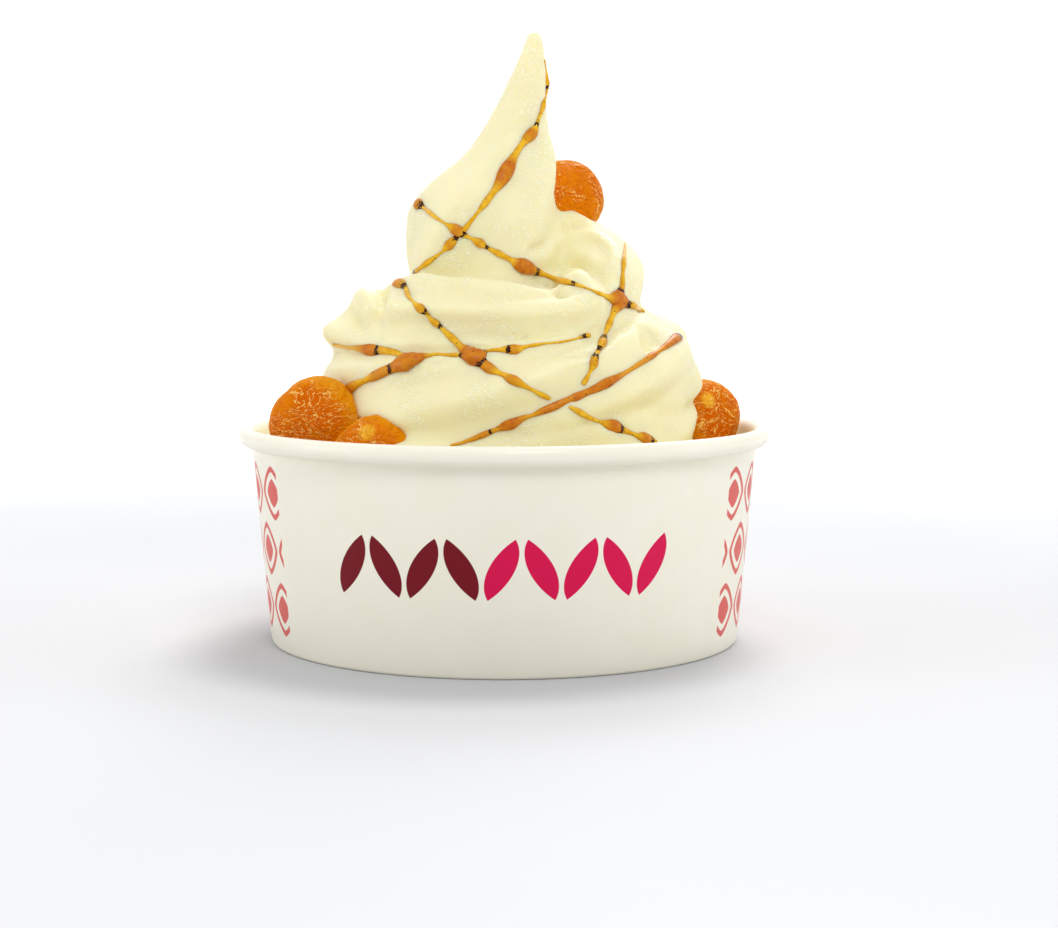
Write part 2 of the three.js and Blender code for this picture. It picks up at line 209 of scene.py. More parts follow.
# ---- The syrup: each strand as x, z and width, as they look from the front ----
STRANDS = {
    "peak": [
        (8.6, 126.6, 0.5), (9, 124.6, 0.4), (9.1, 122.8, 0.9), (9.2, 121.2, 1.5),
        (9.4, 120.3, 0.9), (9.4, 119.2, 0.4), (8.8, 117.8, 0.7), (8.5, 116.5, 1.3),
        (8.1, 115.2, 0.8), (7.4, 113.4, 0.7), (6.9, 111.9, 1.1), (6.3, 110.8, 2.2),
        (5.8, 110.1, 2.4), (5, 109.4, 2.1), (4.2, 108.4, 1.4), (3.4, 107.4, 1.2),
        (2.3, 105.7, 1.5), (1.7, 104.6, 2), (0.8, 102.9, 3), (-0.2, 101.1, 3),
        (-1.2, 99.4, 2.1), (-2.3, 97.9, 1.3), (-4.2, 95.3, 1.4), (-5, 94.3, 1),
        (-5.8, 93.3, 0.6), (-7.5, 91.2, 0.8), (-8.7, 89.7, 1.1), (-9.8, 88.6, 0.7),
        (-10.5, 87.9, 1), (-11.4, 86.9, 1.8), (-12.1, 86.2, 2), (-12.8, 85.6, 1.4),
        (-13.6, 84.8, 0.4), (-14.8, 83.9, 0.6), (-16.9, 82.4, 1.2), (-18.5, 81.2, 0.8),
        (-19.6, 80.4, 1), (-20, 79.9, 0.8),
    ],
    "across": [
        (-19.6, 95.6, 2), (-19.1, 95.3, 2.6), (-18.5, 95, 2.3), (-17.9, 94.7, 1.2),
        (-17.4, 94.2, 0.6), (-16.4, 93.4, 0.9), (-14.9, 92.2, 0.7), (-13, 91, 0.4),
        (-12.1, 90.5, 1), (-10.9, 89.8, 2.2), (-10, 89.2, 2.2), (-9, 88.6, 1.5),
        (-8.1, 88.1, 0.7), (-7, 87.6, 0.7), (-6.1, 87.1, 1.5), (-5.4, 86.7, 1.9),
        (-4.7, 86.3, 1.5), (-3.9, 85.8, 0.8), (-3, 85.3, 0.8), (-1.2, 84.4, 1.3),
        (0.5, 83.5, 1), (1.7, 82.9, 1.2), (2.8, 82.2, 2.5), (4, 81.7, 3.2),
        (5.2, 81.3, 2.9), (6.5, 80.7, 1.9), (7.3, 80.4, 1.6), (8.4, 79.9, 1.4),
        (9.6, 79.4, 1.2), (10.8, 79, 1), (12.5, 78.4, 1.5), (13.9, 78.1, 1.6),
        (15.2, 77.8, 1.1), (17, 77.2, 0.6), (18.9, 76.5, 0.4), (20.7, 75.7, 1.1),
        (22.2, 75, 1.1), (23.1, 74.7, 1.6), (24.2, 74.5, 3.4), (25.2, 74.3, 4),
        (26.2, 73.8, 3), (27, 73.3, 1.9), (28.1, 73.1, 1.6), (29.3, 72.4, 1.2),
        (30.4, 71.8, 0.8), (31, 71.4, 0.4),
    ],
    "right_drop": [
        (26.4, 86.9, 0.4), (26.4, 85.6, 0.5), (26.2, 84.1, 0.9), (26.1, 82.3, 1.4),
        (25.9, 80.4, 0.9), (25.8, 78.2, 1.5), (25.7, 76.9, 1.6), (25.4, 76, 2.3),
        (25.1, 75, 3.4), (25, 74.2, 4), (24.8, 73.4, 3.4), (24.4, 72.5, 2.2),
        (23.9, 71.5, 1.4), (23.5, 70.3, 1.2), (23, 69.1, 1.4), (22.5, 67.9, 1),
        (22.2, 66.9, 0.7), (21.8, 66, 1.4), (21.6, 65.1, 1.8), (21.1, 64.1, 1.4),
        (20.7, 63.4, 0.8), (20.2, 62.3, 1.1), (19.8, 61.2, 1.7), (19.6, 60.2, 1.9),
        (19.2, 59.3, 1.1), (18.8, 58.5, 0.6), (18.1, 57.1, 0.9), (17.5, 56.1, 1),
        (17.1, 55.4, 0.6),
    ],
    "middle_drop": [
        (-24.5, 78, 1.2), (-23.7, 78, 2), (-22.9, 77.9, 2.2), (-22.1, 77.5, 1.6),
        (-21.6, 76.9, 0.9), (-21.3, 75.8, 1),
        (-20.9, 74.7, 0.8), (-20.1, 74, 0.5), (-19.5, 73.3, 1), (-18.6, 72.6, 1.8),
        (-17.9, 72, 1.7), (-17.2, 71.5, 1.1), (-16.5, 70.6, 0.8), (-15.7, 69.7, 1.3),
        (-15, 69.2, 1.5), (-14.2, 68.5, 1), (-13.5, 67.8, 0.8), (-12.2, 66.5, 1.3),
        (-11.2, 65.6, 1.5), (-10.2, 64.7, 1.3), (-9.6, 64, 1.5), (-8.7, 63.2, 2.6),
        (-7.6, 62.3, 3.9), (-6.5, 61.7, 4.4), (-5.6, 61, 3.5), (-4.8, 60.3, 2.3),
        (-3.3, 59.2, 2.3), (-2.2, 58.6, 1.8), (-1.1, 58.1, 1.2), (0.3, 57.6, 1.4),
        (1.2, 57, 2.1), (2, 56.6, 2.2), (3.2, 56, 1.7), (4.4, 55.4, 1),
        (6.1, 54.5, 0.6), (8.5, 53.3, 1), (9.7, 52.7, 0.7), (10.4, 52.3, 0.4),
    ],
    "low_right": [
        (13.9, 51, 0.3), (14.8, 50.5, 0.7), (16.2, 49.8, 1.2), (18.3, 48.6, 1),
        (20.4, 47.7, 0.6), (21.4, 47.4, 0.8), (22.3, 47, 1.8), (23.2, 46.6, 2.7),
        (24.4, 46.3, 2.9), (25.3, 46, 2.4), (26.1, 45.6, 1.7), (27.3, 45.2, 1),
        (28.6, 44.7, 0.8), (29.4, 44.3, 1.3), (30.4, 44, 2.3), (31.1, 43.8, 2.4),
        (32, 43.6, 1.9), (33, 43.2, 1), (33.9, 43, 0.4),
    ],
    "left_stub": [
        (-38, 64.6, 0.4), (-36.6, 64.2, 0.7), (-34.6, 63.9, 0.8), (-33, 63.8, 1.2),
        (-31.6, 63.6, 1.8), (-30, 63.3, 2.5), (-28.8, 63.2, 2.5), (-28, 63.2, 2.1),
        (-27.2, 63.3, 1.7), (-25.8, 63.1, 1.5), (-24.3, 62.8, 1.3), (-22.8, 62.2, 1.1),
        (-21.4, 61.6, 1), (-20.4, 61.2, 0.8),
    ],
    "left_across": [
        (-37.2, 52.6, 1.6), (-35.4, 54, 2.3), (-33.5, 55.2, 2.2), (-32.1, 56, 1.5),
        (-30.9, 56.5, 1.2), (-29.7, 57.1, 1.5), (-28.5, 57.6, 2.1), (-27, 58.3, 2.2),
        (-25.7, 58.9, 2.1), (-24.4, 59.4, 2.4), (-23.2, 60, 3.4), (-21.8, 60.5, 4.4),
        (-20, 61.1, 4.3), (-18.7, 61.5, 3.4), (-17.7, 61.8, 2.3), (-16.4, 62, 1.4),
        (-14.5, 62.3, 0.9), (-12.4, 62.1, 1), (-11, 62.1, 1.5), (-9.8, 62.1, 1.2),
        (-8.8, 62.1, 2.6), (-7.6, 62, 4.2), (-6.1, 61.9, 4.3), (-5.2, 62.3, 3),
        (-4.5, 62.8, 1.6), (-3.9, 63, 0.9), (-2.4, 63.2, 0.9), (-0.8, 63.3, 1.1),
        (0.6, 63.4, 1.7), (2, 63.4, 2.1), (2.9, 63.5, 1.8), (3.9, 63.8, 1),
        (5.4, 64.2, 0.6), (6.8, 64.4, 0.7), (8.7, 64.7, 0.4), (12.7, 65.1, 0.4),
        (15.9, 65.8, 0.4), (17.1, 66.2, 0.8), (18.1, 66.4, 1.15), (19.1, 66.7, 0.8),
    ],
    "low_across": [
        (-12.3, 42.2, 0.4), (-10.4, 42.5, 0.7), (-8.2, 43.2, 0.8), (-4.8, 44.5, 1.2),
        (-3.2, 45.2, 1), (-1.7, 45.8, 0.9), (0.1, 46.5, 1.8), (1.4, 46.9, 2.1),
        (2.6, 47.5, 1.7), (4.1, 48.3, 1.1), (6.2, 48.9, 0.7), (7.8, 49.6, 1.2),
        (10.9, 50.8, 1.6), (14.1, 52.4, 1.2), (15.7, 52.9, 1.7), (18.2, 54, 1.35),
        (20.4, 54.9, 1.7), (22.5, 56, 2), (24.7, 57.2, 1.35), (27, 58.5, 0.85),
        (29.5, 60.1, 1), (31.4, 61.3, 1.2), (32.4, 62, 1.5), (33.9, 63, 1),
        (35.3, 63.9, 1.4), (36.6, 64.9, 1.7), (37.4, 65.6, 2.1), (38.1, 66.1, 2.3),
        (38.7, 66.7, 1.8),
    ],
}
STRAND_SPACING = 0.3
STRAND_SIDES = 16
# The width from which a strand turns from amber to brown, and one that is browner.
USUAL_BROWN_FROM = 1.3
BROWN_FROM = {"low_across": 0.3}
# Strands laid again on the far side: which, and how far round the viewer stands.
FAR_STRANDS = [
    ("middle_drop", 180), ("left_across", 180), ("right_drop", 180),
    ("low_across", 150), ("middle_drop", 235),
]
NECK_REACH = 0.55
# Where the syrup shows dark between its drops, as x and z from the front.
NECKS = [
    (9.4, 120.3), (7, 112.4), (-17.9, 94.7), (-8.9, 88.6), (-10.6, 87.9), (-3.8, 85.8),
    (6.9, 80.5), (-17.4, 71.6), (-14.2, 68.4), (-4.4, 62.6), (-5, 60.4), (-25, 59.2),
    (0.9, 63.4), (17.2, 66.3), (25.3, 76), (27, 73.4), (21.8, 65.9), (19.9, 61.8),
    (25.7, 45.8), (32.4, 43.5), (-19.6, 80.3), (-27.7, 63.2), (38.2, 66.2), (38.8, 66.8),
    (-21.8, 77.2), (20.8, 63.4), (-9.5, 62.3), (15.2, 77.8), (-3.2, 45.2),
]

# ---- The stage: each soft light's place in metres, its side and its power ----
LIGHT_AIM = (0, 0, 0.06)
LIGHTS = {
    "back_box": ((0.2, 0.9, 0.9), 0.5, 5.0),
    "front_box": ((0.15, -0.64, 0.72), 0.35, 2.5),
    "left_box": ((-0.8, -0.1, 0.3), 0.35, 1.1),
    "right_box": ((0.8, 0.0, 0.3), 0.35, 0.7),
}
# How bright the sky is all round, and what is added towards the back, above and far behind.
SKY_GLOW = 0.53
SKY_BACK = 0.3
SKY_ABOVE = 0.4
SKY_BACKDROP = 0.26


# ---- Objects and meshes ----
def new_object(name, mesh, *materials):
    """An object at the origin that carries the mesh."""
    made = bpy.data.objects.new(name, mesh)
    bpy.context.scene.collection.objects.link(made)
    for material in materials:
        mesh.materials.append(material)
    return made


def shade_smooth(mesh):
    mesh.polygons.foreach_set("use_smooth", [True] * len(mesh.polygons))


def mesh_of(name, shape):
    """The bmesh as a smooth-shaded mesh; the bmesh is freed."""
    mesh = bpy.data.meshes.new(name)
    shape.to_mesh(mesh)
    shape.free()
    shade_smooth(mesh)
    return mesh


def settled(piece):
    """The piece's mesh with its modifiers applied."""
    seen = piece.evaluated_get(bpy.context.evaluated_depsgraph_get())
    return bpy.data.meshes.new_from_object(seen)


def rows_of(items, name, width, kind=np.float64):
    """A property of the items, as an array with one row for each."""
    flat = np.empty(len(items) * width, dtype=kind)
    items.foreach_get(name, flat)
    return flat.reshape(-1, width)


def points_of(mesh):
    return rows_of(mesh.vertices, "co", 3)


def normals_of(mesh):
    return rows_of(mesh.vertices, "normal", 3)


def edges_of(mesh):
    return rows_of(mesh.edges, "vertices", 2, np.int64)


def set_points(mesh, points):
    mesh.vertices.foreach_set("co", points.ravel())
    mesh.update()


def relaxed(points, edges, rounds):
    """The points drawn halfway to the mean of their neighbours, round after round."""
    count = np.bincount(edges.ravel(), minlength=len(points))[:, None]
    for _ in range(rounds):
        total = np.zeros_like(points)
        for axis in range(points.shape[1]):
            total[:, axis] = np.bincount(
                edges[:, 0], points[edges[:, 1], axis], len(points)
            ) + np.bincount(edges[:, 1], points[edges[:, 0], axis], len(points))
        points = points + 0.5 * (total / count - points)
    return points


def store(mesh, name, values):
    """The values as a named attribute, one for each vertex."""
    mesh.attributes.new(name, "FLOAT", "POINT").data.foreach_set("value", values)


def smooth_through(stations, column, place):
    """A column of the stations, on a smooth curve through all of them."""
    last = len(stations) - 1

    def slope(i):
        before, after = stations[max(i - 1, 0)], stations[min(i + 1, last)]
        return (after[column] - before[column]) / (after[0] - before[0])

    start = 0
    while start < last - 1 and stations[start + 1][0] <= place:
        start += 1
    here, there = stations[start], stations[start + 1]
    span = there[0] - here[0]
    f = (place - here[0]) / span
    return (
        here[column] * (2 * f**3 - 3 * f**2 + 1)
        + slope(start) * span * (f**3 - 2 * f**2 + f)
        + there[column] * (3 * f**2 - 2 * f**3)
        + slope(start + 1) * span * (f**3 - f**2)
    )


def by_length(stations):
    """The stations, each with the length so far put first. Their last value isn't a place."""
    lengths = [0.0]
    for here, there in zip(stations, stations[1:]):
        lengths.append(lengths[-1] + math.dist(here[:-1], there[:-1]))
    return [(length, *station) for length, station in zip(lengths, stations)]


def sampled(table, count):
    """The table's columns after the first, at even steps from end to end."""
    return [
        [smooth_through(table, column, table[-1][0] * i / count)
         for column in range(1, len(table[0]))]
        for i in range(count + 1)
    ]


def spun(outline, steps, closed=False):
    """An outline of radius and height, turned round the cup's axis."""
    shape = bmesh.new()
    corners = [shape.verts.new((0, -r * MM, z * MM)) for r, z in outline]
    following = corners[1:] + corners[:1] if closed else corners[1:]
    for here, there in zip(corners, following):
        shape.edges.new((here, there))
    bmesh.ops.spin(
        shape,
        geom=shape.verts[:] + shape.edges[:],
        cent=(0, 0, 0),
        axis=(0, 0, 1),
        angle=math.tau,
        steps=steps,
        use_merge=True,
    )
    bmesh.ops.remove_doubles(shape, verts=shape.verts, dist=0.001 * MM)
    bmesh.ops.recalc_face_normals(shape, faces=shape.faces)
    return shape


def upright_tube(sides, rings):
    """A closed cylinder of radius 1 and height 1 round the origin."""
    shape = bmesh.new()
    bmesh.ops.create_cone(
        shape, cap_ends=True, segments=sides, radius1=1.0, radius2=1.0, depth=1.0
    )
    upright = [e for e in shape.edges if abs(e.verts[0].co.z - e.verts[1].co.z) > 0.5]
    bmesh.ops.subdivide_edges(shape, edges=upright, cuts=rings - 1, use_grid_fill=True)
    return shape


# ---- Shader nodes ----
def add_node(tree, kind, inputs=None, **settings):
    """A shader node with its settings, and its inputs as values or as sockets to link."""
    made = tree.nodes.new("ShaderNode" + kind)
    for name, value in settings.items():
        setattr(made, name, value)
    for name, value in (inputs or {}).items():
        if isinstance(value, bpy.types.NodeSocket):
            tree.links.new(value, made.inputs[name])
        else:
            made.inputs[name].default_value = value
    return made


def set_inputs(shader, values):
    for name, value in values.items():
        shader.inputs[name].default_value = value


def math_node(tree, operation, *values):
    made = add_node(tree, "Math", dict(enumerate(values)), operation=operation)
    return made.outputs[0]


def mix_colour(tree, share, first, second):
    made = tree.nodes.new("ShaderNodeMix")
    made.data_type = "RGBA"
    for socket, value in (("Factor_Float", share), ("A_Color", first), ("B_Color", second)):
        target = next(s for s in made.inputs if s.identifier == socket)
        if isinstance(value, bpy.types.NodeSocket):
            tree.links.new(value, target)
        else:
            target.default_value = value
    return next(s for s in made.outputs if s.identifier == "Result_Color")


def ramp(tree, value, low, high):
    """0 at low and 1 at high, smooth between them."""
    made = add_node(
        tree,
        "MapRange",
        {"Value": value, "From Min": low, "From Max": high},
        interpolation_type="SMOOTHSTEP",
    )
    return made.outputs["Result"]


def srgb(red, green, blue):
    """A colour from its 0 to 255 display values."""

    def linear(value):
        value /= 255
        return value / 12.92 if value <= 0.04045 else ((value + 0.055) / 1.055) ** 2.4

    return (linear(red), linear(green), linear(blue), 1.0)


def new_material(name):
    """An empty material: its tree, its Principled node and its Object coordinates in mm."""
    made = bpy.data.materials.new(name)
    made.use_nodes = True
    tree = made.node_tree
    shader = tree.nodes["Principled BSDF"]
    coordinates = add_node(tree, "TexCoord").outputs["Object"]
    scaled = add_node(tree, "VectorMath", {0: coordinates}, operation="SCALE")
    scaled.inputs["Scale"].default_value = 1 / MM
    return made, tree, shader, scaled.outputs["Vector"]


def grain_group():
    """Fine unevenness at a stated size: a height, and slow patches of the same pattern."""
    tree = bpy.data.node_groups.new("fine_grain", "ShaderNodeTree")
    for name, kind in (("Place", "NodeSocketVector"), ("Grain Size", "NodeSocketFloat"),
                       ("Patch Size", "NodeSocketFloat")):
        tree.interface.new_socket(name, in_out="INPUT", socket_type=kind)
    for name in ("Height", "Patches"):
        tree.interface.new_socket(name, in_out="OUTPUT", socket_type="NodeSocketFloat")
    start = tree.nodes.new("NodeGroupInput")
    end = tree.nodes.new("NodeGroupOutput")
    place = start.outputs["Place"]
    fine_scale = math_node(tree, "DIVIDE", 1.0, start.outputs["Grain Size"])
    fine = add_node(
        tree, "TexNoise", {"Vector": place, "Scale": fine_scale, "Detail": 3.0, "Roughness": 0.6}
    )
    slow_scale = math_node(tree, "DIVIDE", 1.0, start.outputs["Patch Size"])
    slow = add_node(tree, "TexNoise", {"Vector": place, "Scale": slow_scale, "Detail": 2.0})
    tree.links.new(fine.outputs["Fac"], end.inputs["Height"])
    tree.links.new(ramp(tree, slow.outputs["Fac"], 0.35, 0.65), end.inputs["Patches"])
    return tree


def add_grain(tree, place, grain_size, patch_size):
    made = add_node(tree, "Group", node_tree=GRAIN)
    tree.links.new(place, made.inputs["Place"])
    made.inputs["Grain Size"].default_value = grain_size
    made.inputs["Patch Size"].default_value = patch_size
    return made.outputs["Height"], made.outputs["Patches"]


def add_bump(tree, shader, height, distance, strength):
    made = add_node(
        tree, "Bump", {"Height": height, "Distance": distance * MM, "Strength": strength}
    )
    tree.links.new(made.outputs["Normal"], shader.inputs["Normal"])


# ---- Materials ----
GRAIN = grain_group()


def board_material(name, printed):
    """White coated board, with the cup's print on its outside if printed."""
    made, tree, shader, place = new_material(name)
    height, patches = add_grain(tree, place, 0.35, 9.0)
    colour = mix_colour(tree, patches, srgb(247, 243, 225), srgb(248, 244, 228))
    coat = 0.4
    if printed:
        colour, inked = add_print(tree, place, colour)
        bare_coat = math_node(tree, "MULTIPLY_ADD", inked, -coat, coat)
        tree.links.new(bare_coat, shader.inputs["Coat Weight"])
    tree.links.new(colour, shader.inputs["Base Color"])
    set_inputs(shader, {
        "Roughness": 0.42, "Specular IOR Level": 0.2, "Coat Weight": coat, "Coat Roughness": 0.25,
    })
    add_bump(tree, shader, height, 0.02, 0.35)
    return made


def add_print(tree, place, ground):
    """A plain garland in front, and staggered lozenges round the sides and back.

    Gives the colour, and a mask that is 1 on the ink.
    """
    x, y, z = add_node(tree, "SeparateXYZ", {"Vector": place}).outputs
    angle = math_node(tree, "ARCTAN2", x, math_node(tree, "MULTIPLY", y, -1.0))
    along = math_node(tree, "MULTIPLY", angle, PRINT_RADIUS)
    leaf_mask = garland_mask(tree, along, z)
    lozenge_mask = lozenges_mask(tree, along, z)
    colour_change = -4.0
    right_half = ramp(tree, along, colour_change - 0.1, colour_change + 0.1)
    leaf_colour = mix_colour(tree, right_half, srgb(118, 2, 22), srgb(220, 0, 78))
    with_leaves = mix_colour(tree, leaf_mask, ground, leaf_colour)
    inked = math_node(tree, "MAXIMUM", leaf_mask, lozenge_mask)
    return mix_colour(tree, lozenge_mask, with_leaves, srgb(222, 96, 88)), inked


def garland_mask(tree, along, z):
    """Pointed leaves side by side, tilted to and fro. 1 on a leaf."""
    cell = 8.0
    middle_height = 22.3
    half_width = 36.0
    start = 4.0
    lean = 0.45
    soft = 0.06
    leaf_reach = 8.4  # radius of the two arcs of a leaf
    leaf_shift = 5.7  # how far each arc's centre lies from the middle line
    moved = math_node(tree, "ADD", along, start)
    index = math_node(tree, "FLOOR", math_node(tree, "DIVIDE", moved, cell))
    inside = math_node(tree, "SUBTRACT", moved, math_node(tree, "MULTIPLY", index, cell))
    u = math_node(tree, "SUBTRACT", inside, cell / 2)
    v = math_node(tree, "SUBTRACT", z, middle_height)
    parity = math_node(tree, "FLOORED_MODULO", index, 2.0)
    tilt = math_node(tree, "MULTIPLY_ADD", parity, 2 * lean, -lean)
    turned_u = math_node(tree, "MULTIPLY_ADD", v, tilt, u)
    reaches = []
    for side in (-1, 1):
        shifted = math_node(tree, "ADD", turned_u, side * leaf_shift)
        squared = math_node(tree, "MULTIPLY", shifted, shifted)
        total = math_node(tree, "MULTIPLY_ADD", v, v, squared)
        reaches.append(math_node(tree, "SQRT", total))
    furthest = math_node(tree, "MAXIMUM", *reaches)
    leaf = ramp(tree, furthest, leaf_reach + soft, leaf_reach - soft)
    sideways = math_node(tree, "ABSOLUTE", along)
    return math_node(tree, "MULTIPLY", leaf, math_node(tree, "LESS_THAN", sideways, half_width))


def lozenges_mask(tree, along, z):
    """Outlined lozenges with a filled heart, in staggered rows. 1 on the ink."""
    cell_wide = 12.93
    cell_high = 12.4
    rows = 3
    first_height = 3.4
    bare_front = 55.6
    roundness = 1.35
    soft = 0.006
    row = math_node(tree, "DIVIDE", math_node(tree, "SUBTRACT", z, first_height), cell_high)
    row_index = math_node(tree, "FLOOR", row)
    shift = math_node(tree, "MULTIPLY", math_node(tree, "FLOORED_MODULO", row_index, 2.0), 0.5)
    column = math_node(tree, "ADD", math_node(tree, "DIVIDE", along, cell_wide), shift)
    u = math_node(tree, "SUBTRACT", math_node(tree, "FRACT", column), 0.5)
    v = math_node(tree, "SUBTRACT", math_node(tree, "FRACT", row), 0.5)
    reach = math_node(tree, "ADD", *(
        math_node(tree, "POWER", math_node(tree, "ABSOLUTE", way), roundness) for way in (u, v)
    ))
    outside, gap, heart = (
        ramp(tree, reach, edge + soft, edge - soft) for edge in (0.355, 0.255, 0.15)
    )
    ink = math_node(tree, "ADD", math_node(tree, "SUBTRACT", outside, gap), heart)
    sides = math_node(tree, "GREATER_THAN", math_node(tree, "ABSOLUTE", along), bare_front)
    below_rim = math_node(tree, "LESS_THAN", z, first_height + rows * cell_high)
    above_foot = math_node(tree, "GREATER_THAN", z, first_height)
    field = math_node(tree, "MULTIPLY", math_node(tree, "MULTIPLY", sides, below_rim), above_foot)
    return math_node(tree, "MULTIPLY", ink, field)


def yogurt_material():
    """Pale frozen cream: translucent, yellower in its creases as painted shade, with painted
    glints and a fine icy grain.
    """
    made, tree, shader, place = new_material("frozen_yogurt")
    grain, patches = add_grain(tree, place, 0.55, 8.0)
    crease = add_node(tree, "Attribute", attribute_name="crease").outputs["Fac"]
    body = mix_colour(tree, patches, srgb(243, 235, 191), srgb(242, 234, 186))
    # Painted shade: the hollows get a yellower tint that stands in for the shade in them.
    colour = mix_colour(tree, crease, body, srgb(250, 241, 188))
    # Painted glints: short level streaks of lighter colour, in patches, and thickest on the right
    # side of the peak.
    level = add_node(tree, "VectorMath", {0: place, 1: (0.7, 0.7, 1.5)}, operation="MULTIPLY")
    glint_noise = add_node(
        tree, "TexNoise", {"Vector": level.outputs["Vector"], "Scale": 2.0, "Detail": 1.0}
    )
    sparkle = ramp(tree, glint_noise.outputs["Fac"], 0.54, 0.64)
    x, _, z = add_node(tree, "SeparateXYZ", {"Vector": place}).outputs
    side = math_node(tree, "MULTIPLY", ramp(tree, x, 1.0, 6.0), ramp(tree, x, 14.0, 9.0))
    side = math_node(tree, "MULTIPLY", side, ramp(tree, z, 76.0, 84.0))
    glint_zone = math_node(tree, "MAXIMUM", side, ramp(tree, patches, 0.4, 0.8))
    sparkle = math_node(tree, "MULTIPLY", sparkle, glint_zone)
    painted_glint = math_node(tree, "MULTIPLY", sparkle, 0.7)
    colour = mix_colour(tree, painted_glint, colour, srgb(255, 252, 226))
    tree.links.new(colour, shader.inputs["Base Color"])
    set_inputs(shader, {
        "Roughness": 0.45, "Subsurface Weight": 0.6, "Subsurface Radius": (1.0, 0.8, 0.4),
        "Subsurface Scale": 3.0 * MM,
    })
    icy = math_node(tree, "MULTIPLY", grain, math_node(tree, "ADD", patches, 0.35))
    icy = math_node(tree, "MULTIPLY_ADD", sparkle, 0.8, icy)
    add_bump(tree, shader, icy, 0.14, 0.7)
    return made


def wavy_streaks(tree, place, thickness):
    """Short wavy streaks that run together in drifts. 1 on a streak."""
    drift = add_node(tree, "TexNoise", {"Vector": place, "Scale": 0.16, "Detail": 1.0})
    swayed = add_node(
        tree, "VectorMath", {0: drift.outputs["Color"], 1: (9.0, 9.0, 9.0), 2: place},
        operation="MULTIPLY_ADD",
    )
    drawn_out = add_node(
        tree, "VectorMath", {0: swayed.outputs["Vector"], 1: (0.5, 0.5, 1.5)},
        operation="MULTIPLY",
    )
    waves = add_node(
        tree, "TexNoise", {"Vector": drawn_out.outputs["Vector"], "Scale": 0.9, "Detail": 1.0}
    )
    off_line = math_node(tree, "ABSOLUTE", math_node(tree, "SUBTRACT", waves.outputs["Fac"], 0.5))
    return ramp(tree, off_line, thickness, 0.0), waves.outputs["Fac"]


def apricot_material():
    """Wet dried fruit: deep orange, yellower at its edge, with fine wavy wrinkles, painted glints
    on them and painted shade beside them.
    """
    made, tree, shader, place = new_material("apricot_flesh")
    grain, patches = add_grain(tree, place, 0.45, 6.0)
    streaks, waves = wavy_streaks(tree, place, 0.07)
    edge = add_node(tree, "Attribute", attribute_name="edge").outputs["Fac"]
    blotch = add_node(tree, "Attribute", attribute_name="blotch").outputs["Fac"]
    deep = mix_colour(tree, patches, srgb(216, 102, 0), srgb(228, 130, 2))
    thin = mix_colour(tree, edge, deep, srgb(240, 166, 4))
    spotted = mix_colour(tree, blotch, thin, srgb(250, 190, 50))
    mottled_and_shaded = mix_colour(tree, math_node(tree, "MULTIPLY", grain, 0.45), spotted, srgb(208, 92, 2))
    # Painted glints: a pale yellow laid along the wavy streaks, fewer towards the edge.
    glint_mask = math_node(tree, "MULTIPLY", streaks, ramp(tree, grain, 0.44, 0.56))
    glint_mask = math_node(tree, "MULTIPLY", glint_mask, ramp(tree, patches, 0.9, 0.5))
    glint_mask = math_node(tree, "MULTIPLY", glint_mask, math_node(tree, "MULTIPLY_ADD", edge, -0.7, 1.0))
    # Painted shade along one side of each wrinkle.
    shade_side = ramp(tree, waves, 0.5, 0.56)
    shade_side = math_node(tree, "MULTIPLY", shade_side, ramp(tree, waves, 0.66, 0.56))
    shading = math_node(tree, "MULTIPLY", shade_side, 0.45)
    mottled_and_shaded = mix_colour(tree, shading, mottled_and_shaded, srgb(194, 82, 2))
    glint = math_node(tree, "MULTIPLY", glint_mask, 0.85)
    colour = mix_colour(tree, glint, mottled_and_shaded, srgb(255, 216, 116))
    tree.links.new(colour, shader.inputs["Base Color"])
    tree.links.new(math_node(tree, "MULTIPLY", streaks, 0.12), shader.inputs["Coat Weight"])
    set_inputs(shader, {"Roughness": 0.5, "Specular IOR Level": 0.02, "Coat Roughness": 0.15})
    height = math_node(tree, "ADD", waves, math_node(tree, "MULTIPLY", grain, 0.35))
    add_bump(tree, shader, height, 0.7, 0.8)
    return made


def syrup_material():
    """Amber syrup: yellow where it is thin, brown in the drops, dark at their necks."""
    made, tree, shader, place = new_material("amber_syrup")
    thick = add_node(tree, "Attribute", attribute_name="thick").outputs["Fac"]
    neck = add_node(tree, "Attribute", attribute_name="neck").outputs["Fac"]
    edge = add_node(tree, "Attribute", attribute_name="edge").outputs["Fac"]
    grain, patches = add_grain(tree, place, 0.4, 1.5)
    amber = mix_colour(tree, patches, srgb(238, 190, 44), srgb(226, 166, 24))
    brown = mix_colour(tree, patches, srgb(198, 108, 20), srgb(212, 132, 28))
    colour = mix_colour(tree, thick, amber, brown)
    # Painted shade: darker towards the sides of each strand.
    colour = mix_colour(tree, math_node(tree, "MULTIPLY", edge, 0.4), colour, srgb(160, 84, 10))
    specks = add_node(tree, "TexVoronoi", {"Vector": place, "Scale": 0.75})
    spot = ramp(tree, specks.outputs["Distance"], 0.16, 0.1)
    colour = mix_colour(tree, math_node(tree, "MULTIPLY", spot, 0.8), colour, srgb(96, 44, 12))
    dark_neck = ramp(tree, math_node(tree, "MULTIPLY_ADD", grain, 3.0, neck), 1.98, 2.16)
    colour = mix_colour(tree, dark_neck, colour, srgb(50, 14, 14))
    tree.links.new(colour, shader.inputs["Base Color"])
    set_inputs(shader, {
        "Roughness": 0.3, "Specular IOR Level": 0.1, "Coat Weight": 0.06, "Coat Roughness": 0.06,
    })
    add_bump(tree, shader, grain, 0.05, 0.4)
    return made


